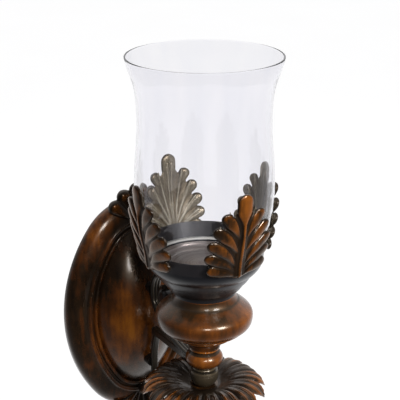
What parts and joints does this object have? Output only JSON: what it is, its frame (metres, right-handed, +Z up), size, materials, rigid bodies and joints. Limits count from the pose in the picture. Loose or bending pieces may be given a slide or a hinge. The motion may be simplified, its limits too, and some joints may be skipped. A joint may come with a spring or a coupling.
{
  "type": "wall sconce candle holder",
  "caption": "Wall sconce with a domed oval plate, scrolled bracket, turned column, leaf collar, leaf-edged bowl and flared hurricane glass for a pillar candle.",
  "frame": {"origin": "middle of the wall plate's flat back, on the wall", "axes": "+Y into the wall, so the sconce stands out towards -Y; +Z up the column; +X to the right of someone facing the wall"},
  "size_m": [0.144, 0.1955, 0.3854],
  "materials": {
    "plate_wood": "dark stained wood under gloss lacquer, rubbed to amber on the boss",
    "turned_wood": "dark stained turned wood under gloss lacquer",
    "carved_bronze": "antique bronze paint, rubbed copper on the ridges",
    "arm_iron": "dark bronze paint, satin",
    "bowl_bronze": "near-black bronze paint, gloss",
    "plated_steel": "zinc plated",
    "gasket_rubber": "matt translucent ring",
    "dish_bronze": "bronze paint, satin",
    "clear_glass": "clear, faint lilac-grey tint"
  },
  "bodies": {
    "sconce": {"wall_plate": "plate_wood", "top_palmette": "carved_bronze", "bottom_palmette": "carved_bronze", "upper_keyhole_hanger": "plated_steel", "lower_keyhole_hanger": "plated_steel", "hanger_screws": "plated_steel", "upper_standoff": "arm_iron", "lower_standoff": "arm_iron", "arm_bolts": "plated_steel", "arm_washers": "plated_steel", "upper_scroll": "arm_iron", "scroll_eye": "arm_iron", "lower_scroll": "arm_iron", "cross_bar": "arm_iron", "arm_knuckle": "arm_iron", "lower_socket": "turned_wood", "drop_finial": "turned_wood", "leaf_collar": "carved_bronze", "small_ball": "turned_wood", "bulb": "turned_wood", "bowl": "bowl_bronze", "tie_rod": "plated_steel", "bowl_nut": "plated_steel", "bowl_washer": "plated_steel", "leaf_front": "carved_bronze", "leaf_right": "carved_bronze", "leaf_back": "carved_bronze", "leaf_left": "carved_bronze", "leaf_pins": "plated_steel", "glass_gasket": "gasket_rubber"},
    "candle_dish": {"candle_plate": "dish_bronze"},
    "glass": {"hurricane_glass": "clear_glass"}
  },
  "joints": [
    {"name": "glass_lift", "type": "slide", "parent": "sconce", "child": "glass", "axis": [0, 0, 1], "range_m": [0, 0.1]},
    {"name": "candle_plate_lift", "type": "slide", "parent": "sconce", "child": "candle_dish", "axis": [0, 0, 1], "range_m": [0, 0.05]}
  ]
}
